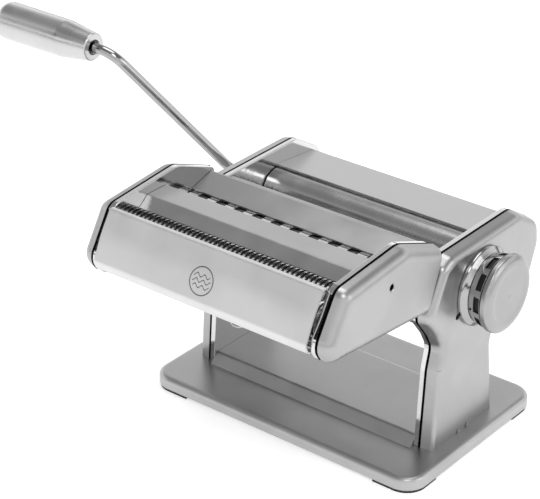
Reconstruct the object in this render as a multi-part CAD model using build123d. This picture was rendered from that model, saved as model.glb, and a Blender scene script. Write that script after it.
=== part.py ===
from build123d import *
import os
from math import asin, atan2, cos, pi, sin

# Hand-cranked pasta machine. All sizes are in millimetres.
# +X points to the gap knob, +Y to the rear, +Z up. The origin is on the floor under the base's centre.

# Base
base_width = 196.0
base_depth = 130.0
base_corner_r = 13.5
base_top = 9.5
rim_bottom = 2.0
sheet = 1.2
platform_top = 15.2
platform_half = 28.4
platform_foot = 34.8
clamp_slot_half_width = 8.5
clamp_slot_floor = 9.9

# Flanks: a polished tray inside and a satin cover outside, with a shadow groove between them
inside_half = 75.0
web = 1.4
tray_edge = 78.2
cover_start = 79.2
cover_face = 87.9
column_face = 87.3
cover_inner = 86.1
draft = 12.0
cover_edge_r = 5.2
column_edge_r = 2.8
head_edge_r = 7.5
crease_height = 60.8

# Dough rollers
roller_r = 13.2
roller_half = 74.4
roller_z = 106.8
rear_roller_y = 28.4
widest_gap = 4.8
gap_travel = 4.2
front_roller_y = rear_roller_y - 2 * roller_r - widest_gap
drive_shaft_r = 6.5
drive_shaft_end = 87.6
journal_r = 4.0
rear_journal_r = 5.0
bush_r = 8.6
bush_flange_r = 10.2
running = 0.05

# Gears: straight-sided teeth, long on the rollers so that they stay in mesh as the gap changes
roller_gear = {"teeth": 12, "root_r": 10.5, "tip_r": 16.2, "root_half": 1.5, "tip_half": 0.6}
cutter_gear = {"teeth": 16, "root_r": 8.4, "tip_r": 10.7, "root_half": 1.15, "tip_half": 0.45}
gear_near = 79.0
gear_far = 84.0

# Crank: a round rod with a cross pin that drops into a slot in the shaft's end
rod_r = 3.2
socket_r = 3.28
socket_depth = 17.0
pin_r = 1.2
pin_half = 5.2
slot_depth = 3.2
slot_half = 1.35
crank_first_corner = 107.8
crank_top = (-156.8, -26.1, 191.7)
crank_bend_r = 16.0
grip_start = 171.5
grip_length = 75.5
grip_r = 12.0
grip_ridge = 22.5
grip_mouth_r = 8.7
grip_mouth_recess_r = 4.7
grip_mouth_recess = 6.0
nut_recess_r = 5.6
nut_recess = 11.5
rod_end = 241.0

# Gap selector
knob_y = 11.8
knob_z = 101.0
index_steps = 10
turn_range = 324.0
track_start_r = 12.2
cam_r = 15.5
cam_near = 79.4
cam_far = 82.4
follower_r = 1.5
knob_shaft_r = 4.0
knob_flat = 3.0
base_ring_r = 24.0
base_ring_far = 92.8
drum_near = 93.2
drum_far = 102.0
drum_near_r = 21.0
drum_far_r = 22.6
drum_neck_r = 21.4
hub_far = 100.2
hub_r = 7.5
shaft_far = 104.8
knob_cap_r = 23.4
knob_face = 107.6
index_circle_r = 13.5
index_pin_r = 1.25
spring_wire_r = 0.4
spring_turns = 2.4
spring_near_r = 4.9
spring_far_r = 7.1

# Cutter head
lift_y, lift_z = 0.394, 0.919
cutter_r = 10.15
groove_r = 8.85
cutter_centres = 19.5
cutter_half = 74.25
fine_rear = (-93.3, 127.4)
wide_rear = (-51.5, 124.0)
fine_front = (fine_rear[0] - cutter_centres, fine_rear[1])
wide_front = (wide_rear[0] - cutter_centres, wide_rear[1])
wide_cells = 22
fine_cells = 93
head_shaft_end = 87.2
head_drive_r = 5.5
head_bush_r = 7.2

right_side, left_side = 1, -1


# ---- helpers ----
def outline(points, radii):
    return make_face(FilletPolyline(*points, radius=radii, close=True))


def slab(face, x_from, x_to):
    return extrude(Plane.YZ.offset(x_from) * face, amount=x_to - x_from, dir=(1, 0, 0))


def rod(x_from, x_to, y, z, r):
    return Pos((x_from + x_to) / 2, y, z) * Rot(0, 90, 0) * Cylinder(r, abs(x_to - x_from))


def tube(x_from, x_to, y, z, r_out, r_in):
    return rod(x_from, x_to, y, z, r_out) - rod(x_from - 1, x_to + 1, y, z, r_in)


def block(x_from, x_to, y_from, y_to, z_from, z_to):
    middle = Pos((x_from + x_to) / 2, (y_from + y_to) / 2, (z_from + z_to) / 2)
    return middle * Box(x_to - x_from, y_to - y_from, z_to - z_from)


def bent_sheet(points, radii, thickness, half_width):
    middle_line = FilletPolyline(*points, radius=radii) if radii else Line(*points)
    return slab(trace(middle_line, line_width=thickness), -half_width, half_width)


def hexagon(x_from, x_to, y, z, r, hole_r):
    face = Pos(y, z) * RegularPolygon(r, 6)
    return slab(face, x_from, x_to) - rod(x_from - 1, x_to + 1, y, z, hole_r)


def turned(profile, y, z):
    """A lathe shape along X from a closed list of (x, r) points."""
    return Pos(0, y, z) * revolve(make_face(Polyline(*profile, close=True)), Axis.X)


def flipped(shape):
    return mirror(shape, Plane.YZ)


def group(shapes):
    return Compound(children=[solid for shape in shapes for solid in shape.solids()])


def top_edges(shape, axis):
    return shape.faces().sort_by(axis)[-1].edges()


def gear(sizes, x_from, x_to, place, bore_r, half_step):
    """A spur gear on a (y, z) centre. A half step puts a space where the twin has a tooth."""
    points = []
    for tooth in range(sizes["teeth"]):
        middle = 2 * pi * (tooth + (0.5 if half_step else 0)) / sizes["teeth"]
        root, tip = sizes["root_r"], sizes["tip_r"]
        corners = [(root, -sizes["root_half"]), (tip, -sizes["tip_half"])]
        corners += [(tip, sizes["tip_half"]), (root, sizes["root_half"])]
        for r, half in corners:
            angle = middle + asin(half / r)
            points.append((place[0] + r * cos(angle), place[1] + r * sin(angle)))
    wheel = slab(make_face(Polyline(*points, close=True)), x_from, x_to)
    return wheel - rod(x_from - 1, x_to + 1, *place, bore_r)


# ---- side outlines, as (y, z) points ----
def flank_outline(foot, foot_r):
    """The flank's outline, with its foot at height foot."""
    front_foot = -31.4 - (base_top - foot) * 0.07
    rear_foot = 33.3 + (base_top - foot) * 0.11
    return outline(
        [(front_foot, foot), (-27.6, 60.0), (-24.0, 74.0), (-29.5, 84.0), (-40.8, 98.3), (-34.6, 110.7),
         (-26.0, 126.4), (-17.6, 130.8), (51.0, 131.3), (73.5, 117.6), (75.5, 103.9), (67.6, 83.3),
         (27.4, 60.8), (rear_foot, foot)],
        [foot_r, 22, 9, 14, 9, 14, 9, 9, 12, 10, 12, 9, 10, foot_r],
    )


flank = flank_outline(base_top, 0.6)
# The cover is drawn longer at its foot and cut off level.
flank_long = flank_outline(base_top - 18, 8)
head_top_rear = (-27.4, 141.1)
head_foot_rear = (-42.1, 102.9)
head_flank = outline(
    [(-114.7, 149.9), (-60.8, 154.4), head_top_rear, head_foot_rear, (-125.4, 110.7), (-132.3, 121.5)],
    [8, 16, 4, 3, 9.5, 9.5],
)
# The head's cover is cut off square at its slanted rear edge, so it is first drawn longer.
head_flank_long = outline(
    [(-114.7, 149.9), (-60.8, 154.4), (-4.0, 131.8), (-16.0, 100.5), (-125.4, 110.7), (-132.3, 121.5)],
    [8, 16, 3, 3, 9.5, 9.5],
)
tie_rod_places = [(-14.0, 82.0), (45.0, 84.0), (56.0, 108.0)]
head_rod_places = [(-82.5, 112.2), (-122.0, 115.5), (-39.5, 131.0)]
foot_screw_places = [(side * 77.0, y) for side in (left_side, right_side) for y in (-18.0, 20.0)]
bar_place = (-19.0, 97.0)
bar_r = 3.0
block_half_y, block_half_z = 8.0, 9.0
head_axles = [fine_front, fine_rear, wide_front, wide_rear]


def behind_head_edge(margin):
    """Everything behind the head's slanted rear edge, less a margin."""
    slope = (head_top_rear[0] - head_foot_rear[0]) / (head_top_rear[1] - head_foot_rear[1])
    low, high = 90.0, 170.0
    y_low = head_foot_rear[0] + (low - head_foot_rear[1]) * slope - margin
    y_high = head_foot_rear[0] + (high - head_foot_rear[1]) * slope - margin
    return slab(make_face(Polyline((y_low, low), (y_high, high), (60, high), (60, low), close=True)), 60, 100)


def along_lift(across, up, start=(-23.5, 127.0)):
    """A (y, z) point measured forward from the body's front wall and down along the lift direction."""
    return (start[0] - across * lift_z - up * lift_y, start[1] + across * lift_y - up * lift_z)


def lift_slab(near, far, up_from, up_to, x_from, x_to):
    """A block square to the lift direction."""
    corners = [(near, up_from), (far, up_from), (far, up_to), (near, up_to)]
    return slab(make_face(Polyline(*[along_lift(*corner) for corner in corners], close=True)), x_from, x_to)


# ---- base ----
def make_base():
    rim = Pos(0, 0, rim_bottom) * RectangleRounded(base_width, base_depth, base_corner_r)
    body = extrude(rim, base_top - rim_bottom)
    body = fillet(top_edges(body, Axis.Z), 3.2)
    inner_face = RectangleRounded(base_width - 2 * sheet, base_depth - 2 * sheet, base_corner_r - sheet)
    hollow = extrude(inner_face, base_top - sheet)
    hollow = fillet(top_edges(hollow, Axis.Z), 2.0)
    platform = outline(
        [(-platform_foot, base_top - 1), (-platform_foot, base_top), (-platform_half, platform_top),
         (platform_half, platform_top), (platform_foot, base_top), (platform_foot, base_top - 1)],
        [0, 0.8, 3, 3, 0.8, 0],
    )
    under = outline(
        [(-platform_foot + 0.8, 6), (-platform_foot + 0.8, base_top - 0.9),
         (-platform_half + 0.7, platform_top - sheet), (platform_half - 0.7, platform_top - sheet),
         (platform_foot - 0.8, base_top - 0.9), (platform_foot - 0.8, 6)],
        [0, 0.8, 2, 2, 0.8, 0],
    )
    end = inside_half - 0.1
    body = body + slab(platform, -end, end) - hollow - slab(under, -end + sheet, end - sheet)
    body = body - block(-clamp_slot_half_width, clamp_slot_half_width, platform_half - 8, platform_foot + 4,
                        clamp_slot_floor, platform_top - sheet)
    for x, y in foot_screw_places:
        body = body - Pos(x, y, base_top) * Cylinder(2.1, 8)
    return body


def make_feet():
    pad = RectangleRounded(base_width - 1.4, base_depth - 1.4, base_corner_r - 0.7)
    inset = 2 * sheet + 0.2
    plug = RectangleRounded(base_width - inset, base_depth - inset, base_corner_r - inset / 2)
    feet = []
    for sx in (left_side, right_side):
        for sy in (-1, 1):
            corner = Pos(sx * base_width / 2, sy * base_depth / 2)
            foot = extrude(pad & (corner * Rectangle(56, 50)), rim_bottom)
            foot = foot + Pos(0, 0, rim_bottom) * extrude(plug & (corner * Rectangle(52, 46)), 3)
            feet.append(foot)
    return group(feet)


def make_foot_screws():
    under_sheet = base_top - sheet
    head = Pos(0, 0, under_sheet - 1.0) * Cylinder(3.6, 2.0)
    screw = head + Pos(0, 0, under_sheet + 1.5) * Cylinder(2.0, 3.0)
    return group([Pos(x, y, 0) * screw for x, y in foot_screw_places])


# ---- flanks of the body ----
def tray(face):
    """A polished plate whose edge turns outwards along its whole outline."""
    body = slab(face, inside_half, tray_edge)
    body = fillet(body.faces().sort_by(Axis.X)[0].edges(), 0.5)
    return body - slab(offset(face, amount=-web), inside_half + web, tray_edge + 1)


def make_inner_plate():
    body = tray(flank)
    body = body - rod(70, 80, rear_roller_y, roller_z, bush_r)
    play = 0.15
    slot_front = front_roller_y - block_half_y - play
    slot_rear = front_roller_y + gap_travel + block_half_y + play
    slot_low = roller_z - block_half_z - play
    slot_high = roller_z + block_half_z + play
    body = body - block(70, 77, slot_front, slot_rear, slot_low, slot_high)
    slot = SlotOverall(gap_travel + 2 * bar_r + 0.6, 2 * bar_r + 0.6)
    body = body - slab(Pos(bar_place[0] + gap_travel / 2, bar_place[1]) * slot, 70, 77)
    for y, z in tie_rod_places:
        body = body - rod(70, 80, y, z, 2.05)
    for y in (-18.0, 20.0):
        body = body - Pos(77.0, y, base_top) * Cylinder(2.05, 8)
    return body


def spigot(face):
    """The cover's lip: a step inwards from the wall, then a rim that tucks inside the tray's flange."""
    lip = slab(offset(face, amount=-web - 0.1), inside_half + web + 0.1, cover_start + 0.8)
    lip = lip + slab(offset(face, amount=-sheet / 2), cover_start, cover_start + 0.8)
    return lip - slab(offset(face, amount=-web - 0.7), inside_half, cover_start + 2)


def drawn(face, x_to, edge_r):
    """A deep-drawn block from the seam to x_to: its walls lean in by the draft, and its far edge is round."""
    body = extrude(Plane.YZ.offset(cover_start) * face, amount=x_to - cover_start, dir=(1, 0, 0), taper=draft)
    return fillet(top_edges(body, Axis.X), edge_r)


def room(face, x_to, edge_r):
    """The hollow of a drawn shell, open towards the seam."""
    mouth = offset(face, amount=-sheet)
    return drawn(mouth, x_to, edge_r) + slab(mouth, cover_start - 1, cover_start + 0.01)


def make_side_cover():
    """Below the crease the shell is a little narrower, with a tighter edge."""
    column = drawn(flank_long, column_face, column_edge_r) - block(70, 100, -80, 100, crease_height, 160)
    upper = drawn(flank_long, cover_face, cover_edge_r) - block(70, 100, -80, 100, -30, crease_height)
    body = column + upper - room(flank_long, cover_inner, column_edge_r - 1.0)
    body = body - block(70, 100, -80, 100, -30, base_top)
    body = body + (spigot(flank) - block(70, 90, -60, 60, 0, base_top + 4))
    for y in (-4.0, 5.0):
        body = body - block(85, 90, y - 1.2, y + 1.2, 0, base_top + 1.4)
    return body


def make_right_cover():
    body = make_side_cover()
    body = body - rod(80, 90, knob_y, knob_z, 6.3)
    return body - rod(80, 90, -11.2, 90.4, 1.8)


def make_left_cover():
    return flipped(make_side_cover() - rod(80, 90, rear_roller_y, roller_z, 7.4))


def make_tie_rods():
    bars = []
    for y, z in tie_rod_places:
        bar = rod(-inside_half + 0.05, inside_half - 0.05, y, z, 3.5)
        bars.append(bar + rod(-80.5, 80.5, y, z, 2.0))
    return group(bars)


def make_tie_rod_nuts():
    nuts = []
    for y, z in tie_rod_places:
        nut = hexagon(inside_half + web, 79.4, y, z, 4.2, 2.0)
        nuts += [nut, flipped(nut)]
    return group(nuts)


# ---- sheets between the flanks ----
def make_rear_guard():
    return bent_sheet([(30.2, 121.1), (68.0, 117.6), (72.0, 109.0)], [4.0], 1.0, inside_half - 0.1)


def make_hopper_front_plate():
    return bent_sheet([(-19.0, 128.0), (-12.5, 129.3), (-2.2, 122.6)], [3.0], 1.0, inside_half - 0.1)


def make_front_wall():
    return bent_sheet([along_lift(-0.6, 1.0), along_lift(-0.6, 31.0)], [], 1.2, inside_half - 0.1)


# ---- dough rollers ----
def make_rear_roller():
    y, z = rear_roller_y, roller_z
    body = rod(-roller_half, roller_half, y, z, roller_r)
    body = chamfer(body.edges().filter_by(GeomType.CIRCLE), 0.5)
    body = body + rod(-drive_shaft_end, -roller_half, y, z, drive_shaft_r)
    body = body + rod(roller_half, 78.6, y, z, rear_journal_r)
    return drive_socket(body, drive_shaft_end, y, z)


def drive_socket(body, end, y, z):
    """A blind bore for the crank's rod with a cross slot for its pin."""
    body = body - rod(-end - 1, -end + socket_depth, y, z, socket_r)
    return body - block(-end - 1, -end + slot_depth, y - 12, y + 12, z - slot_half, z + slot_half)


def make_front_roller():
    y, z = front_roller_y, roller_z
    body = rod(-roller_half, roller_half, y, z, roller_r)
    body = chamfer(body.edges().filter_by(GeomType.CIRCLE), 0.5)
    return body + rod(-gear_far, 79.0, y, z, journal_r)


def make_bushes():
    y, z = rear_roller_y, roller_z
    sleeve = rod(inside_half - 0.3, inside_half + web, y, z, bush_r)
    sleeve = sleeve + rod(inside_half + web, inside_half + web + 1.5, y, z, bush_flange_r)
    left = flipped(sleeve - rod(70, 80, y, z, drive_shaft_r + running))
    return group([sleeve - rod(70, 80, y, z, rear_journal_r + running), left])


def make_bearing_block():
    """A block that slides in the plate's slot, with a flange outside that reaches down to the tie bar."""
    y, z = front_roller_y, roller_z
    body = block(74.7, 76.5, y - block_half_y, y + block_half_y, z - block_half_z, z + block_half_z)
    flange = outline(
        [(y - 12, z + 11), (y + 11, z + 11), (y + 11, z - 11), (y - 12, z - 14.5), (y - 21, z - 14.5),
         (y - 21, z - 4)],
        [3, 3, 3, 3, 4, 4],
    )
    body = body + slab(flange, 76.5, 78.4)
    body = body - rod(70, 80, y, z, journal_r + running)
    return body - rod(70, 80, *bar_place, 2.0)


def make_right_block():
    pin_y = knob_y - track_start_r
    return make_bearing_block() + rod(78.4, 81.4, pin_y, knob_z, follower_r)


def make_carriage_bar():
    return rod(-76.45, 76.45, *bar_place, bar_r) + rod(-78.6, 78.6, *bar_place, 2.0)


def make_rear_scraper():
    y, z = tie_rod_places[1]
    holder = tube(-74.0, 74.0, y, z, 4.6, 3.5)
    blade = bent_sheet([(37.4, 94.2), (43.2, 87.8)], [], 0.8, 74.0)
    return holder + blade - rod(-75, 75, y, z, 3.5)


def make_front_scraper():
    y, z = bar_place
    holder = tube(-74.0, 74.0, y, z, 4.0, bar_r)
    blade = bent_sheet([(-17.6, 93.6), (-8.2, 92.8)], [], 0.8, 74.0)
    return holder + blade


# ---- crank ----
def make_crank_rod():
    y, z = rear_roller_y, roller_z
    start = (-drive_shaft_end + socket_depth - 1.0, y, z)
    corner = (-crank_first_corner, y, z)
    end = (-rod_end, crank_top[1], crank_top[2])
    path = FilletPolyline(start, corner, crank_top, end, radius=crank_bend_r)
    bar = sweep(Plane(origin=start, z_dir=(-1, 0, 0)) * Circle(rod_r), path=path)
    return bar - Pos(-drive_shaft_end + 1.6, y, z) * Rot(90, 0, 0) * Cylinder(pin_r, 20)


def make_cross_pin():
    place = Pos(-drive_shaft_end + 1.6, rear_roller_y, roller_z)
    return place * Rot(90, 0, 0) * Cylinder(pin_r, 2 * pin_half)


def make_grip():
    """A cone from the mouth to a soft ridge, a barrel, and a rounded far end with the nut's recess."""
    bore = rod_r + 0.08
    profile = [
        (0, grip_mouth_recess_r), (0, grip_mouth_r), (grip_ridge, grip_r - 0.2), (grip_ridge + 40, grip_r),
        (grip_length, grip_r), (grip_length, nut_recess_r), (grip_length - nut_recess, nut_recess_r),
        (grip_length - nut_recess, bore), (grip_mouth_recess, bore), (grip_mouth_recess, grip_mouth_recess_r),
    ]
    points = [(-grip_start - along, r) for along, r in profile]
    section = make_face(FilletPolyline(*points, radius=[0.3, 1.0, 16, 0, 5.6, 0.5, 0, 0, 0, 0], close=True))
    return Pos(0, crank_top[1], crank_top[2]) * revolve(section, Axis.X)


def make_grip_washer():
    start = -grip_start - grip_mouth_recess
    return tube(start + 0.1, start + 2.0, crank_top[1], crank_top[2], grip_mouth_recess_r - 0.3, rod_r)


def make_grip_nut():
    seat = -grip_start - grip_length + nut_recess - 0.3
    cap = rod(-rod_end - 1.4, seat, crank_top[1], crank_top[2], nut_recess_r - 0.6)
    return cap - rod(-rod_end, -200, crank_top[1], crank_top[2], rod_r)


# ---- gap selector ----
def spiral_track():
    """The groove for the follower pin: its radius falls evenly as the knob turns."""
    half = follower_r + 0.12
    centre, outer, inner = [], [], []
    for step in range(57):
        turn = 6.0 * (step - 1)
        r = track_start_r - gap_travel * turn / turn_range
        angle = pi - turn * pi / 180
        for points, shift in ((centre, 0), (outer, half), (inner, -half)):
            points.append((knob_y + (r + shift) * cos(angle), knob_z + (r + shift) * sin(angle)))
    edges = [Spline(*outer), Line(outer[-1], inner[-1]), Spline(*inner[::-1]), Line(inner[0], outer[0])]
    body = slab(make_face(edges), cam_near - 1, cam_near + 2.3)
    for y, z in (centre[0], centre[-1]):
        body = body + rod(cam_near - 1, cam_near + 2.3, y, z, half)
    return body


def make_gap_cam():
    """A scroll disc on the knob's shaft. The shaft is flatted where the knob slides on it."""
    disc = rod(cam_near, cam_far, knob_y, knob_z, cam_r) - spiral_track()
    boss = rod(cam_far, 84.2, knob_y, knob_z, 6.0)
    shaft = rod(84.2, shaft_far, knob_y, knob_z, knob_shaft_r)
    for side in (-1, 1):
        near, far = sorted((knob_z + side * knob_flat, knob_z + side * 8))
        shaft = shaft - block(drum_near, shaft_far + 1, knob_y - 6, knob_y + 6, near, far)
    return disc + boss + shaft - rod(shaft_far - 7, shaft_far + 1, knob_y, knob_z, 1.5)


def make_shaft_screw():
    head = rod(shaft_far, shaft_far + 0.9, knob_y, knob_z, 5.6)
    return head + rod(shaft_far - 6, shaft_far, knob_y, knob_z, 1.5)


def make_base_ring():
    """A polished ring with a coned shoulder and the holes that the index pin drops into."""
    profile = [
        (cover_face, 0), (cover_face, base_ring_r), (90.0, base_ring_r), (91.6, 22.2), (base_ring_far, 21.0),
        (base_ring_far, 0),
    ]
    section = FilletPolyline(*profile, radius=[0, 0.6, 1.6, 0.8, 0.4, 0], close=True)
    body = Pos(0, knob_y, knob_z) * revolve(make_face(section), Axis.X)
    body = body + rod(84.5, cover_face, knob_y, knob_z, 6.2)
    body = body - rod(80, 95, knob_y, knob_z, knob_shaft_r + running)
    for step in range(index_steps):
        angle = 2 * pi * step / index_steps
        place = (knob_y + index_circle_r * cos(angle), knob_z + index_circle_r * sin(angle))
        body = body - rod(base_ring_far - 2.5, base_ring_far + 1, *place, 1.6)
    return body


def make_knob_drum():
    """The knob's chromed drum with a recessed window for each setting, and a neck below the cap."""
    neck = drum_far - 0.7
    profile = [(drum_near, 0), (drum_near, drum_near_r), (neck, drum_far_r), (neck, drum_neck_r),
               (drum_far, drum_neck_r), (drum_far, 0)]
    body = turned(profile, knob_y, knob_z)
    body = body - rod(drum_near + 2, drum_far + 1, knob_y, knob_z, 17.0)
    body = body + rod(drum_near, hub_far, knob_y, knob_z, hub_r)
    flats = rod(90, drum_far, knob_y, knob_z, knob_shaft_r + 0.06)
    flat_low, flat_high = knob_z - knob_flat - 0.06, knob_z + knob_flat + 0.06
    flats = flats & block(90, drum_far, knob_y - 6, knob_y + 6, flat_low, flat_high)
    body = body - flats
    window = block(neck - 4.6, neck - 0.5, -4.9, 4.9, 20.0, 25)
    for step in range(index_steps):
        body = body - Pos(0, knob_y, knob_z) * Rot(360 * (step + 0.5) / index_steps, 0, 0) * window
    return body - rod(90, drum_near + 2.2, knob_y + index_circle_r, knob_z, index_pin_r)


def make_knob_cap():
    """The satin cap: a rounded rim, a shallow dish, and room inside for the shaft's end."""
    profile = [
        (drum_far, 0), (drum_far, knob_cap_r), (knob_face - 2.4, knob_cap_r),
        (knob_face - 0.5, knob_cap_r - 2.6), (knob_face, knob_cap_r - 5.4),
        (knob_face - 0.7, knob_cap_r - 8.4), (knob_face - 0.9, 0),
    ]
    section = FilletPolyline(*profile, radius=[0, 0.5, 1.8, 4.0, 5.0, 14.0, 0], close=True)
    body = Pos(0, knob_y, knob_z) * revolve(make_face(section), Axis.X)
    return body - rod(drum_far - 1, knob_face - 1.7, knob_y, knob_z, 9.5)


def make_index_pin():
    return rod(base_ring_far + 0.15, drum_near + 2.2, knob_y + index_circle_r, knob_z, index_pin_r)


def make_pull_spring():
    """A conical coil: its turns drop inside each other, so it closes to little more than its wire."""
    near_screw, height = shaft_far - 0.5, shaft_far - hub_far - 1.1
    cone = atan2(spring_far_r - spring_near_r, height) * 180 / pi
    path = Helix(pitch=height / spring_turns, height=height, radius=spring_near_r, cone_angle=cone)
    coil = sweep(Plane(origin=path @ 0, z_dir=path % 0) * Circle(spring_wire_r), path=path)
    return Pos(near_screw, knob_y, knob_z) * Rot(0, -90, 0) * coil


# ---- cutter head ----
def make_head_plate():
    body = tray(head_flank)
    for y, z in head_axles:
        body = body - rod(70, 80, y, z, head_bush_r)
    for y, z in head_rod_places:
        body = body - rod(70, 80, y, z, 1.55)
    return body


def make_head_cover():
    body = drawn(head_flank_long, cover_face, head_edge_r) - behind_head_edge(0)
    inside = room(head_flank_long, cover_face - sheet, head_edge_r - 2.5) - behind_head_edge(sheet)
    return body - inside + spigot(head_flank)


def make_right_head_cover():
    """The right cover has a small sunk hole on its side."""
    place = (-76.0, 137.2)
    return make_head_cover() - Pos(cover_face + 3.2, *place) * Sphere(4.2) - rod(80, 90, *place, 1.9)


def make_left_head_cover():
    body = make_head_cover()
    for y, z in (fine_rear, wide_rear):
        body = body - rod(80, 90, y, z, 6.3)
    return flipped(body)


def make_front_cover():
    return bent_sheet(
        [(-114.8, 146.6), (-116.0, 149.2), (-118.6, 149.4), (-126.6, 137.0), (-133.4, 122.6),
         (-131.4, 117.4), (-126.6, 117.0)],
        [1.2, 1.6, 60, 3.2, 2.4], 1.0, inside_half - 0.4,
    )


def make_centre_deck():
    points = [(-94.6, 140.6), (-87.4, 146.0), (-71.6, 146.0), (-69.4, 143.2)]
    return bent_sheet(points, [1.4, 1.6], 0.9, inside_half - 0.2)


def make_rear_top_plate():
    return bent_sheet([(-49.2, 135.2), (-31.4, 140.2), (-29.6, 137.6)], [1.4], 0.9, inside_half - 0.2)


def make_head_rear_wall():
    return bent_sheet([(-32.6, 133.6), (-43.6, 105.2), (-46.4, 104.6)], [1.6], 1.0, inside_half - 0.2)


def make_head_rods():
    bars = []
    for y, z in head_rod_places:
        threads = rod(-76, -66, y, z, 1.5) + rod(66, 76, y, z, 1.5)
        bars.append(rod(-74.95, 74.95, y, z, 2.4) - threads)
    return group(bars)


def make_head_screws():
    screws = []
    for y, z in head_rod_places:
        screw = rod(67.0, inside_half + web, y, z, 1.5) + rod(inside_half + web, 78.2, y, z, 2.7)
        screws += [screw, flipped(screw)]
    return group(screws)


def make_head_bushes():
    bushes = []
    for y, z in head_axles:
        sleeve = rod(inside_half - 0.2, inside_half + web + 1.2, y, z, head_bush_r)
        driven = (y, z) in (fine_rear, wide_rear)
        left_bore = (head_drive_r if driven else journal_r) + running
        bushes.append(sleeve - rod(70, 80, y, z, journal_r + running))
        bushes.append(flipped(sleeve - rod(70, 80, y, z, left_bore)))
    return group(bushes)


def cutter_profile(cells, ring_on_even, side_gap):
    """The ribbed roller: rings and grooves in turn, each ring a little narrower than its groove."""
    step = 2 * cutter_half / cells
    points = [(-cutter_half, 0)]
    for cell in range(cells):
        is_ring = (cell % 2 == 0) == ring_on_even
        r = cutter_r if is_ring else groove_r
        trim = side_gap if is_ring else -side_gap
        x_from = -cutter_half + (cell * step + trim if cell > 0 else 0)
        x_to = -cutter_half + (cell + 1) * step - (trim if cell < cells - 1 else 0)
        points += [(x_from, r), (x_to, r)]
    return points + [(cutter_half, 0)]


def make_cutter(place, cells, ring_on_even, side_gap, driven):
    y, z = place
    body = turned(cutter_profile(cells, ring_on_even, side_gap), y, z)
    body = body + rod(cutter_half, gear_far, y, z, journal_r)
    if not driven:
        return body + rod(-78.0, -cutter_half, y, z, journal_r)
    body = body + rod(-head_shaft_end, -cutter_half, y, z, head_drive_r)
    return drive_socket(body, head_shaft_end, y, z)


def make_comb(place, cells, ring_on_even, side_gap, direction, drop, finger_trim):
    """A strip whose fingers reach into a cutter roller's grooves, from the front (-1) or the rear (1)."""
    y, z = place[0], place[1] - drop
    step = 2 * cutter_half / cells
    ring_reach = (cutter_r**2 - (drop - 0.5) ** 2) ** 0.5 + 0.5
    tip_reach = (groove_r**2 - (drop - 0.5) ** 2) ** 0.5 + 0.35
    strip = Pos(0, y + direction * (ring_reach + 1.4), z) * Box(2 * inside_half - 0.4, 2.8, 0.8)
    fingers = []
    for cell in range(cells):
        if (cell % 2 == 0) == ring_on_even or cell in (0, cells - 1):
            continue
        middle = -cutter_half + (cell + 0.5) * step
        reach = (ring_reach + 0.4 + tip_reach) / 2
        length = ring_reach + 0.4 - tip_reach
        fingers.append(Pos(middle, y + direction * reach, z) * Box(step - finger_trim, length, 0.8))
    return strip.fuse(*fingers)


def make_hooks():
    """Two tongues under the head's rear wall that hang in the body's guides."""
    tongue = lift_slab(1.5, 3.5, -2.5, 12.0, 43.0, 57.0)
    bridge = lift_slab(1.5, 10.4, -2.5, -0.6, 43.0, 57.0)
    hook = tongue + bridge
    return group([hook, flipped(hook)])


def make_guides():
    """The matching channels on the body's front wall."""
    guide = lift_slab(0.0, 4.8, 2.0, 16.0, 41.0, 59.0) - lift_slab(1.2, 3.8, 0.0, 18.0, 42.7, 57.3)
    return group([guide, flipped(guide)])


def make_catch():
    """A wire loop that hangs forward from a tie rod under the head, to lift it by."""
    half, top, foot = 4.2, (-85.8, 112.0), (-100.0, 93.0)
    path = FilletPolyline((-half, *top), (-half, *foot), (half, *foot), (half, *top), radius=3.2)
    return sweep(Plane(origin=path @ 0, z_dir=path % 0) * Circle(0.9), path=path)


# ---- all pieces ----
right_plate = make_inner_plate()
head_plate = make_head_plate()
bearing_block = make_bearing_block()
rear_place = (rear_roller_y, roller_z)
front_place = (front_roller_y, roller_z)

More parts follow.
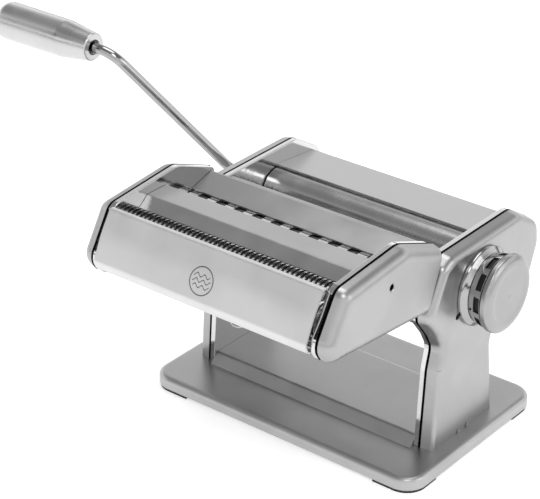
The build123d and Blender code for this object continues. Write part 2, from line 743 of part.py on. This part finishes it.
pieces = {
    "base_plate": make_base(),
    "rubber_feet": make_feet(),
    "foot_screws": make_foot_screws(),
    "right_inner_plate": right_plate,
    "left_inner_plate": flipped(right_plate),
    "right_side_cover": make_right_cover(),
    "left_side_cover": make_left_cover(),
    "tie_rods": make_tie_rods(),
    "tie_rod_nuts": make_tie_rod_nuts(),
    "rear_guard": make_rear_guard(),
    "hopper_front_plate": make_hopper_front_plate(),
    "front_wall": make_front_wall(),
    "rear_roller": make_rear_roller(),
    "rear_roller_gear": gear(roller_gear, -gear_far, -gear_near, rear_place, drive_shaft_r, False),
    "front_roller": make_front_roller(),
    "front_roller_gear": gear(roller_gear, -gear_far, -gear_near, front_place, journal_r, True),
    "roller_bushes": make_bushes(),
    "right_bearing_block": make_right_block(),
    "left_bearing_block": flipped(bearing_block),
    "carriage_bar": make_carriage_bar(),
    "rear_scraper": make_rear_scraper(),
    "front_scraper": make_front_scraper(),
    "crank_rod": make_crank_rod(),
    "crank_cross_pin": make_cross_pin(),
    "crank_grip": make_grip(),
    "grip_washer": make_grip_washer(),
    "grip_end_nut": make_grip_nut(),
    "gap_cam_shaft": make_gap_cam(),
    "shaft_end_screw": make_shaft_screw(),
    "knob_base_ring": make_base_ring(),
    "knob_drum": make_knob_drum(),
    "knob_cap": make_knob_cap(),
    "knob_index_pin": make_index_pin(),
    "knob_pull_spring": make_pull_spring(),
    "right_head_plate": head_plate,
    "left_head_plate": flipped(head_plate),
    "right_head_cover": make_right_head_cover(),
    "left_head_cover": make_left_head_cover(),
    "head_front_cover": make_front_cover(),
    "head_centre_deck": make_centre_deck(),
    "head_rear_top_plate": make_rear_top_plate(),
    "head_rear_wall": make_head_rear_wall(),
    "head_tie_rods": make_head_rods(),
    "head_screws": make_head_screws(),
    "head_bushes": make_head_bushes(),
    "head_hooks": make_hooks(),
    "hook_guides": make_guides(),
    "head_lift_loop": make_catch(),
    "wide_cutter_front": make_cutter(wide_front, wide_cells, False, 0.2, False),
    "wide_cutter_rear": make_cutter(wide_rear, wide_cells, True, 0.2, True),
    "fine_cutter_front": make_cutter(fine_front, fine_cells, False, 0.08, False),
    "fine_cutter_rear": make_cutter(fine_rear, fine_cells, True, 0.08, True),
    "wide_comb_front": make_comb(wide_front, wide_cells, False, 0.2, -1, 7.0, 0.7),
    "wide_comb_rear": make_comb(wide_rear, wide_cells, True, 0.2, 1, 7.0, 0.7),
    "fine_comb_front": make_comb(fine_front, fine_cells, False, 0.08, -1, 7.0, 0.35),
    "fine_comb_rear": make_comb(fine_rear, fine_cells, True, 0.08, 1, 7.0, 0.35),
    "wide_gear_front": gear(cutter_gear, gear_near, gear_far, wide_front, journal_r, True),
    "wide_gear_rear": gear(cutter_gear, gear_near, gear_far, wide_rear, journal_r, False),
    "fine_gear_front": gear(cutter_gear, gear_near, gear_far, fine_front, journal_r, True),
    "fine_gear_rear": gear(cutter_gear, gear_near, gear_far, fine_rear, journal_r, False),
}
os.makedirs("parts", exist_ok=True)
for name, shape in pieces.items():
    export_step(shape, f"parts/{name}.step")
    print(name, round(shape.volume))
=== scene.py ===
import bpy, bmesh
from math import radians
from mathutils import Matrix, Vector


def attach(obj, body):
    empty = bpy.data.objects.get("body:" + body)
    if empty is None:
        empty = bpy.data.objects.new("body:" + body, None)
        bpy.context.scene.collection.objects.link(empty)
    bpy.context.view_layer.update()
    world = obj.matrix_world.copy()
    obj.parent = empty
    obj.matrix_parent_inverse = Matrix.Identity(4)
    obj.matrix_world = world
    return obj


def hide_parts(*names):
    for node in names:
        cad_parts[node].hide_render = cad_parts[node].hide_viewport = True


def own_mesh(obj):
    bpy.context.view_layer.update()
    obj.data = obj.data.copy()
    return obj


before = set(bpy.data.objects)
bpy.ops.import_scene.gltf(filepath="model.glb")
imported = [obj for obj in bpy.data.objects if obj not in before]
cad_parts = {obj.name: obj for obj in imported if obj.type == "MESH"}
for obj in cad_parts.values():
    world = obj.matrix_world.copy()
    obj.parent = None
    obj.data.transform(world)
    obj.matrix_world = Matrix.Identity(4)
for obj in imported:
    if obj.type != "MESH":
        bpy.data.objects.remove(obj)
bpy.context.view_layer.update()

print("frame loaded:", len(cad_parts), "nodes")


def grey(level):
    return (level, level, level, 1)


class Wire:
    # a node's output that Python expressions can work on
    def __init__(self, finish, socket):
        self.finish, self.socket = finish, socket

    def math(self, operation, *values):
        return self.finish.node("ShaderNodeMath", {"operation": operation}, dict(enumerate(values)))

    def __add__(self, other): return self.math("ADD", self, other)
    def __radd__(self, other): return self.math("ADD", other, self)
    def __sub__(self, other): return self.math("SUBTRACT", self, other)
    def __rsub__(self, other): return self.math("SUBTRACT", other, self)
    def __mul__(self, other): return self.math("MULTIPLY", self, other)
    def __rmul__(self, other): return self.math("MULTIPLY", other, self)
    def __pow__(self, other): return self.math("POWER", self, other)
    def __abs__(self): return self.math("ABSOLUTE", self)
    def __lt__(self, other): return self.math("LESS_THAN", self, other)
    def __gt__(self, other): return self.math("GREATER_THAN", self, other)

    def sine(self): return self.math("SINE", self)
    def root(self): return self.math("SQRT", self)
    def most(self, other): return self.math("MAXIMUM", self, other)

    def fade(self, start, end):
        # 0 before start, 1 after end
        return self.finish.node("ShaderNodeMapRange", {"interpolation_type": "SMOOTHSTEP"},
                                {"Value": self, "From Min": start, "From Max": end})


class Finish:
    # one node tree, of a material or of the world
    def __init__(self, owner):
        self.owner = owner
        owner.use_nodes = True
        self.tree = owner.node_tree
        self.tree.nodes.clear()

    def node(self, kind, settings=None, inputs=None, output=0):
        made = self.tree.nodes.new(kind)
        for name, value in (settings or {}).items():
            if name != "stops":
                setattr(made, name, value)
                continue
            ramp = made.color_ramp.elements
            for number, (place, shade) in enumerate(value):
                stop = ramp[number] if number < len(ramp) else ramp.new(place)
                stop.position, stop.color = place, grey(shade)
        for name, value in (inputs or {}).items():
            if isinstance(value, Wire):
                self.tree.links.new(value.socket, made.inputs[name])
            else:
                made.inputs[name].default_value = value
        return Wire(self, made.outputs[output]) if made.outputs else made

    def place(self):
        return self.node("ShaderNodeTexCoord", output="Object")

    def xyz(self, vector):
        parts = self.node("ShaderNodeSeparateXYZ", inputs={0: vector}).socket.node
        return [Wire(self, parts.outputs[axis]) for axis in "XYZ"]

    def stretched(self, vector, scale):
        return self.node("ShaderNodeMapping", inputs={"Vector": vector, "Scale": scale})

    def noise(self, vector, scale, detail=2.0, roughness=0.5):
        return self.node("ShaderNodeTexNoise", inputs={
            "Vector": vector, "Scale": scale, "Detail": detail, "Roughness": roughness})

    def mix(self, amount, first, second):
        return self.node("ShaderNodeMix", {"data_type": "RGBA"},
                         {"Factor": amount, 6: first, 7: second}, output=2)

    def bump(self, height, distance, strength=1.0):
        return self.node("ShaderNodeBump", inputs={
            "Height": height, "Distance": distance, "Strength": strength})

    def surface(self, **inputs):
        shader = self.node("ShaderNodeBsdfPrincipled", inputs={
            name.replace("_", " "): value for name, value in inputs.items()})
        self.node("ShaderNodeOutputMaterial", inputs={"Surface": shader})
        return self.owner


def newFinish(name):
    return Finish(bpy.data.materials.new(name))


satin = {"dark": 0.44, "light": 0.48, "roughness": 0.31, "grain": 5200.0, "grainDepth": 0.000004,
         "grainStrength": 0.35, "smudge": 34.0, "smudgeRough": 0.05, "grainRough": 0.03,
         "seamEdge": 0.0798, "seamPaintedShadow": 0.008, "seamRough": 0.3}


def satinSteel(name, seamShadow=False, lift=0.0):
    # plated steel, very finely matted, with faint cloudy patches and, where asked, painted shadow in the
    # seam groove
    f = newFinish(name)
    at = f.place()
    cloud = f.noise(at, satin["smudge"], 3.0).fade(0.35, 0.65)
    grain = f.noise(at, satin["grain"], 1.0)
    colour = f.mix(cloud, grey(satin["dark"] + lift), grey(satin["light"] + lift))
    rough = satin["roughness"] + cloud * satin["smudgeRough"] + grain * satin["grainRough"]
    if seamShadow:
        # painted shadow: the cover's spigot, down in the groove between tray and cover, is coloured near
        # black as the groove's shade
        inSeamShadow = abs(f.xyz(at)[0]) < satin["seamEdge"]
        colour = f.mix(inSeamShadow, colour, grey(satin["seamPaintedShadow"]))
        rough = rough + inSeamShadow * satin["seamRough"]
    return f.surface(Base_Color=colour, Roughness=rough, Metallic=1.0,
                     Normal=f.bump(grain, satin["grainDepth"], satin["grainStrength"]))


polished = {"dark": 0.60, "light": 0.68, "roughness": 0.07, "streaks": (60.0, 900.0, 900.0),
            "streakDepth": 0.000002, "streakRough": 0.04, "cloud": 40.0, "cloudRough": 0.05}
paintedChromeShade = -0.26   # painted shade: the crank's and the knob ring's chrome is coloured darker than the rolled plate, standing in for the dark surroundings it mirrors


def polishedSteel(name, shade=0.0):
    # bright rolled steel with faint streaks along its length
    f = newFinish(name)
    at = f.place()
    streak = f.noise(f.stretched(at, polished["streaks"]), 1.0, 3.0)
    cloud = f.noise(at, polished["cloud"], 2.0).fade(0.3, 0.7)
    colour = f.mix(streak, grey(polished["dark"] + shade), grey(polished["light"] + shade))
    rough = polished["roughness"] + cloud * polished["cloudRough"] + streak * polished["streakRough"]
    return f.surface(Base_Color=colour, Roughness=rough, Metallic=1.0,
                     Normal=f.bump(streak, polished["streakDepth"], 0.3))


frontPanel = {"dark": 0.65, "light": 0.69, "roughness": 0.46, "mark": (0.0, 0.1335), "slope": 1.12,
              "ring": 0.0078, "line": 0.00035, "strandGap": 0.0030, "strandReach": 0.8, "wave": 0.0009,
              "waves": 1300.0, "markShade": 0.16, "markDepth": 2.0, "markRough": 0.1, "cloudRough": 0.04}


def frontPanelSteel(name):
    # a matt panel, coloured lighter than the satin steel as painted light for the dim light it gets, with a
    # plain etched sign: a circle round three wavy strands
    f = newFinish(name)
    at = f.place()
    x, y, z = f.xyz(at)
    across, up = x - frontPanel["mark"][0], (z - frontPanel["mark"][1]) * frontPanel["slope"]
    reach = (across * across + up * up).root()
    etched = abs(reach - frontPanel["ring"]) < frontPanel["line"]
    inside = reach < frontPanel["ring"] * frontPanel["strandReach"]
    wave = (across * frontPanel["waves"]).sine() * frontPanel["wave"]
    for strand in (-1, 0, 1):
        fromStrand = abs(up - strand * frontPanel["strandGap"] - wave)
        etched = etched.most((fromStrand < frontPanel["line"]) * inside)
    grain = f.noise(at, satin["grain"], 1.0)
    cloud = f.noise(at, satin["smudge"], 3.0).fade(0.35, 0.65)
    # painted light: the panel's plain colour is set lighter to make up for the little light that reaches it
    plain = f.mix(cloud, grey(frontPanel["dark"]), grey(frontPanel["light"]))
    rough = frontPanel["roughness"] + cloud * frontPanel["cloudRough"] + etched * frontPanel["markRough"]
    height = grain - etched * frontPanel["markDepth"]
    return f.surface(Base_Color=f.mix(etched, plain, grey(frontPanel["markShade"])), Roughness=rough,
                     Metallic=1.0, Normal=f.bump(height, satin["grainDepth"], satin["grainStrength"]))


def fromAxis(f, at, axis):
    # distance from a line along X through a (y, z) point
    x, y, z = f.xyz(at)
    return ((y - axis[0]) ** 2.0 + (z - axis[1]) ** 2.0).root()


cutter = {"fine_cutter_rear": (-0.0933, 0.1274), "fine_cutter_front": (-0.1128, 0.1274),
          "wide_cutter_rear": (-0.0515, 0.1240), "wide_cutter_front": (-0.0710, 0.1240)}
ribs = {"grooveEdge": 0.0097, "worn": 0.83, "ring": 0.88, "groove": 0.26, "roughness": 0.22,
        "wear": 700.0, "wearRough": 0.08, "grooveRough": 0.25, "wearDepth": 0.000004}


def ribbedSteel(name, axis):
    # bright rings, with painted shade in the rougher grooves between them
    f = newFinish(name)
    at = f.place()
    # painted shade: the grooves are coloured dark as the shade deep between the rings
    inShadedGroove = fromAxis(f, at, axis) < ribs["grooveEdge"]
    wear = f.noise(at, ribs["wear"], 2.0)
    ring = f.mix(wear, grey(ribs["worn"]), grey(ribs["ring"]))
    rough = ribs["roughness"] + wear * ribs["wearRough"] + inShadedGroove * ribs["grooveRough"]
    return f.surface(Base_Color=f.mix(inShadedGroove, ring, grey(ribs["groove"])), Roughness=rough,
                     Metallic=1.0, Normal=f.bump(wear, ribs["wearDepth"], 0.3))


drum = {"axis": (0.0118, 0.1010), "windowFloor": 0.0206, "windowStart": 0.0965, "neckStart": 0.1012,
        "dark": 0.40, "light": 0.50, "window": 0.04, "roughness": 0.06, "windowRough": 0.4,
        "streaks": (900.0, 60.0, 60.0)}


def drumChrome(name):
    # chromed drum, its chrome coloured darker as painted shade for the dark surroundings it mirrors, with
    # painted shade on the recessed window floors and painted shadow in the gap at the neck below the cap
    f = newFinish(name)
    at = f.place()
    along = f.xyz(at)[0]
    # painted shade: near black on the recessed window floors and in the shadowed gap at the neck below the
    # cap
    inShadedWindow = (fromAxis(f, at, drum["axis"]) < drum["windowFloor"]) * (along > drum["windowStart"])
    black = inShadedWindow.most(along > drum["neckStart"])
    streak = f.noise(f.stretched(at, drum["streaks"]), 1.0, 3.0)
    chrome = f.mix(streak, grey(drum["dark"]), grey(drum["light"]))
    rough = drum["roughness"] + streak * polished["streakRough"] + black * drum["windowRough"]
    return f.surface(Base_Color=f.mix(black, chrome, grey(drum["window"])), Roughness=rough,
                     Metallic=1.0, Normal=f.bump(streak, polished["streakDepth"], 0.3))


turned = {"rings": (14000.0, 30.0, 30.0), "ringDepth": 0.000003, "ringShare": 0.6, "ringRough": 0.05,
          "cloud": 45.0, "cloudShare": 0.4, "cloudRough": 0.05}


def turnedSteel(name, dark, light, roughness, lineStrength=0.35):
    # turned on a lathe along X: fine rings round the piece
    f = newFinish(name)
    at = f.place()
    rings = f.noise(f.stretched(at, turned["rings"]), 1.0, 2.0)
    cloud = f.noise(at, turned["cloud"], 3.0).fade(0.35, 0.65)
    colour = f.mix(rings * turned["ringShare"] + cloud * turned["cloudShare"], grey(dark), grey(light))
    rough = roughness + cloud * turned["cloudRough"] + rings * turned["ringRough"]
    return f.surface(Base_Color=colour, Roughness=rough, Metallic=1.0,
                     Normal=f.bump(rings, turned["ringDepth"], lineStrength))


zinc = {"dark": (0.46, 0.46, 0.44, 1), "light": (0.58, 0.58, 0.56, 1), "roughness": 0.28,
        "spots": 900.0, "spotRough": 0.12, "spotDepth": 0.000008}


def zincScrew(name):
    # bright zinc with the plating's fine spots
    f = newFinish(name)
    spot = f.noise(f.place(), zinc["spots"], 3.0).fade(0.3, 0.7)
    return f.surface(Base_Color=f.mix(spot, zinc["dark"], zinc["light"]), Metallic=1.0,
                     Roughness=zinc["roughness"] + spot * zinc["spotRough"],
                     Normal=f.bump(spot, zinc["spotDepth"], 0.3))


bush = {"dark": (0.07, 0.06, 0.055, 1), "light": (0.11, 0.09, 0.08, 1), "roughness": 0.42,
        "flecks": 1600.0, "fleckRough": 0.14, "fleckDepth": 0.00001}


def brownBush(name):
    # dark moulded bearing plastic with flecks
    f = newFinish(name)
    fleck = f.noise(f.place(), bush["flecks"], 4.0, 0.6).fade(0.35, 0.7)
    return f.surface(Base_Color=f.mix(fleck, bush["dark"], bush["light"]),
                     Roughness=bush["roughness"] + fleck * bush["fleckRough"],
                     Normal=f.bump(fleck, bush["fleckDepth"], 0.4))


rubber = {"dark": (0.008, 0.008, 0.008, 1), "dusty": (0.022, 0.022, 0.021, 1), "roughness": 0.62,
          "pores": 2600.0, "poreRough": 0.2, "poreDepth": 0.00003, "dust": 60.0, "dustShare": 0.4}


def blackRubber(name):
    # matt rubber with fine pores and a little dust
    f = newFinish(name)
    at = f.place()
    pores = f.noise(at, rubber["pores"], 4.0, 0.65)
    dust = f.noise(at, rubber["dust"], 3.0).fade(0.5, 0.8)
    return f.surface(Base_Color=f.mix(dust * rubber["dustShare"], rubber["dark"], rubber["dusty"]),
                     Roughness=rubber["roughness"] + pores * rubber["poreRough"],
                     Normal=f.bump(pores, rubber["poreDepth"], 0.5))


finishes = {
    "satin_steel": satinSteel("satinSteel"),
    "polished_steel": polishedSteel("polishedSteel"),
    "satin_knob": turnedSteel("satinKnob", 0.34, 0.40, 0.28, 0.15),
    "satin_grip": turnedSteel("satinGrip", 0.54, 0.60, 0.22, 0.15),
    "anodised_roller": turnedSteel("anodisedRoller", 0.48, 0.52, 0.20, 0.08),
    "gear_steel": turnedSteel("gearSteel", 0.36, 0.44, 0.30),
    "zinc_screw": zincScrew("zincScrew"),
    "spring_steel": turnedSteel("springSteel", 0.42, 0.50, 0.20),
    "brown_bush": brownBush("brownBush"),
    "black_rubber": blackRubber("blackRubber"),
}
# painted shade: the side and head covers get a copy of the satin steel coloured darker than the rest, to
# tone down how brightly they are lit, plus painted shadow in their seam groove
coverSteel = satinSteel("coverSteel", seamShadow=True, lift=-0.05)
coverNodes = ["right_side_cover", "left_side_cover", "right_head_cover", "left_head_cover"]

special = {name: coverSteel for name in coverNodes}
special["head_front_cover"] = frontPanelSteel("frontPanelSteel")
# painted shade: darker chrome on the crank rod and the knob's base ring
special["crank_rod"] = polishedSteel("rodChrome", paintedChromeShade)
special["knob_base_ring"] = polishedSteel("ringChrome", paintedChromeShade)
special["knob_drum"] = drumChrome("drumChrome")
for name, axis in cutter.items():
    special[name] = ribbedSteel(name + "Steel", axis)

for name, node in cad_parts.items():
    for place in node.material_slots:
        slotName = place.material.name.split(".")[0]
        place.material = special.get(name, finishes[slotName])
print("finishes on CAD nodes")


# two folded tabs that hold each side cover's foot in the base
footTab = {"along": (-0.0040, 0.0050), "x": 0.0875, "low": 0.0096, "width": 0.0018, "thick": 0.0011,
           "height": 0.0013, "fold": 0.0008, "edge": 0.00022}


def makeFootTabs(name, side):
    tabs = []
    for y in footTab["along"]:
        bpy.ops.object.select_all(action="DESELECT")
        bpy.ops.mesh.primitive_cube_add(size=1.0, location=(
            side * footTab["x"], y, footTab["low"] + footTab["height"] / 2))
        tab = bpy.context.object
        tab.scale = (footTab["thick"], footTab["width"], footTab["height"])
        bpy.ops.object.transform_apply(location=True, rotation=True, scale=True)
        bpy.ops.object.mode_set(mode="EDIT")
        mesh = bmesh.from_edit_mesh(tab.data)
        for face in mesh.faces:
            face.select = face.normal.z > 0.9
        bmesh.update_edit_mesh(tab.data)
        bpy.ops.mesh.extrude_region_move(TRANSFORM_OT_translate={
            "value": (side * footTab["fold"], 0, footTab["fold"])})
        bpy.ops.mesh.select_all(action="SELECT")
        bpy.ops.mesh.remove_doubles(threshold=0.000001)
        bpy.ops.mesh.bevel(offset=footTab["edge"], segments=3)
        bpy.ops.mesh.normals_make_consistent(inside=False)
        bpy.ops.object.mode_set(mode="OBJECT")
        tabs.append(tab)
    bpy.ops.object.select_all(action="DESELECT")
    for tab in tabs:
        tab.select_set(True)
    bpy.context.view_layer.objects.active = tabs[0]
    bpy.ops.object.join()
    tabs[0].name = name
    bpy.ops.object.transform_apply(location=True, rotation=True, scale=True)
    tabs[0].data.materials.append(finishes["zinc_screw"])
    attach(tabs[0], "frame")


makeFootTabs("rightFootTabs", 1)
makeFootTabs("leftFootTabs", -1)
print("foot tabs made")


# the knob's spring, which on the real knob closes as the knob is pulled; here it is remade from the CAD
# node and carried rigidly with the knob
pullSpring = {"hubFace": 0.1002, "closed": 0.24, "weld": 0.00001, "smooth": 40}


def makePullSpring():
    bpy.ops.object.select_all(action="DESELECT")
    spring = bpy.data.objects.new("knobPullSpring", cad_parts["knob_pull_spring"].data.copy())
    bpy.context.collection.objects.link(spring)
    spring.select_set(True)
    bpy.context.view_layer.objects.active = spring
    bpy.ops.object.mode_set(mode="EDIT")
    bpy.ops.mesh.select_all(action="SELECT")
    bpy.ops.mesh.remove_doubles(threshold=pullSpring["weld"])
    bpy.ops.mesh.normals_make_consistent(inside=False)
    bpy.ops.object.mode_set(mode="OBJECT")
    bpy.ops.object.shade_smooth_by_angle(angle=radians(pullSpring["smooth"]))
    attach(spring, "knob")
    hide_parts("knob_pull_spring")
    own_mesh(spring)


makePullSpring()
print("pull spring made")


# floor, light and camera
floorLook = {"glow": 0.5}


def makeFloor():
    bpy.ops.object.select_all(action="DESELECT")
    bpy.ops.mesh.primitive_plane_add(size=30.0, location=(0, 0, 0))
    floor = bpy.context.object
    floor.name = "floor"
    f = newFinish("paleFloor")
    tone = f.noise(f.place(), 3.0, 2.0)
    floor.data.materials.append(f.surface(
        Base_Color=f.mix(tone, grey(0.88), grey(0.90)), Roughness=0.9,
        Emission_Color=grey(1.0), Emission_Strength=floorLook["glow"]))


studio = {"horizon": 0.20, "wall": 1.40, "shoulder": 0.95, "ceiling": 0.30, "top": 0.5, "strength": 1.0}


# a black card low at the front left: polished rims mirror it and satin sheet blurs it away
flag = {"at": (-0.553, -0.726, 0.410), "edge": 0.978, "core": 0.988, "shade": 0.01}


def makeWorld():
    world = bpy.data.worlds.new("studio")
    bpy.context.scene.world = world
    f = Finish(world)
    direction = f.node("ShaderNodeTexCoord", output="Generated")
    x, y, z = f.xyz(direction)
    shade = f.node("ShaderNodeValToRGB", {"stops": [
        (0.0, studio["horizon"]), (0.06, studio["horizon"]), (0.14, studio["wall"]), (0.30, studio["wall"]),
        (0.50, studio["shoulder"]), (0.68, studio["ceiling"]), (0.86, studio["ceiling"]),
        (1.0, studio["top"]),
    ]}, {0: z})
    toFlag = x * flag["at"][0] + y * flag["at"][1] + z * flag["at"][2]
    shade = f.mix(toFlag.fade(flag["edge"], flag["core"]), shade, grey(flag["shade"]))
    back = f.node("ShaderNodeBackground", inputs={"Color": shade, "Strength": studio["strength"]})
    f.node("ShaderNodeOutputWorld", inputs={"Surface": back})


lamps = {
    "topLight": {"at": (-0.25, 0.45, 2.2), "size": 1.5, "power": 14.0},
    "sideLight": {"at": (1.9, 0.5, 1.3), "size": 1.2, "power": 5.0},
    "frontRightLight": {"at": (0.75, -0.75, 1.5), "size": 0.5, "power": 5.0},
}


def makeLamps():
    for name, lamp in lamps.items():
        light = bpy.data.lights.new(name, "AREA")
        light.shape, light.size, light.energy = "DISK", lamp["size"], lamp["power"]
        item = bpy.data.objects.new(name, light)
        bpy.context.collection.objects.link(item)
        item.location = lamp["at"]
        item.rotation_mode = "QUATERNION"
        item.rotation_quaternion = (-Vector(lamp["at"])).to_track_quat("-Z", "Y")


camera = {"at": (0.6184, -0.8410, 0.6520), "turn": 38.73, "down": 27.91, "lens": 133.93}


def makeCamera():
    lens = bpy.data.cameras.new("camera")
    lens.lens, lens.sensor_width = camera["lens"], 36.0
    lens.clip_start, lens.clip_end = 0.01, 100.0
    item = bpy.data.objects.new("camera", lens)
    bpy.context.collection.objects.link(item)
    item.location = camera["at"]
    item.rotation_euler = (radians(90 - camera["down"]), 0, radians(camera["turn"]))
    bpy.context.scene.camera = item


makeFloor()
makeWorld()
makeLamps()
makeCamera()
bpy.context.scene.view_settings.view_transform = "Standard"
print("floor, light and camera made")
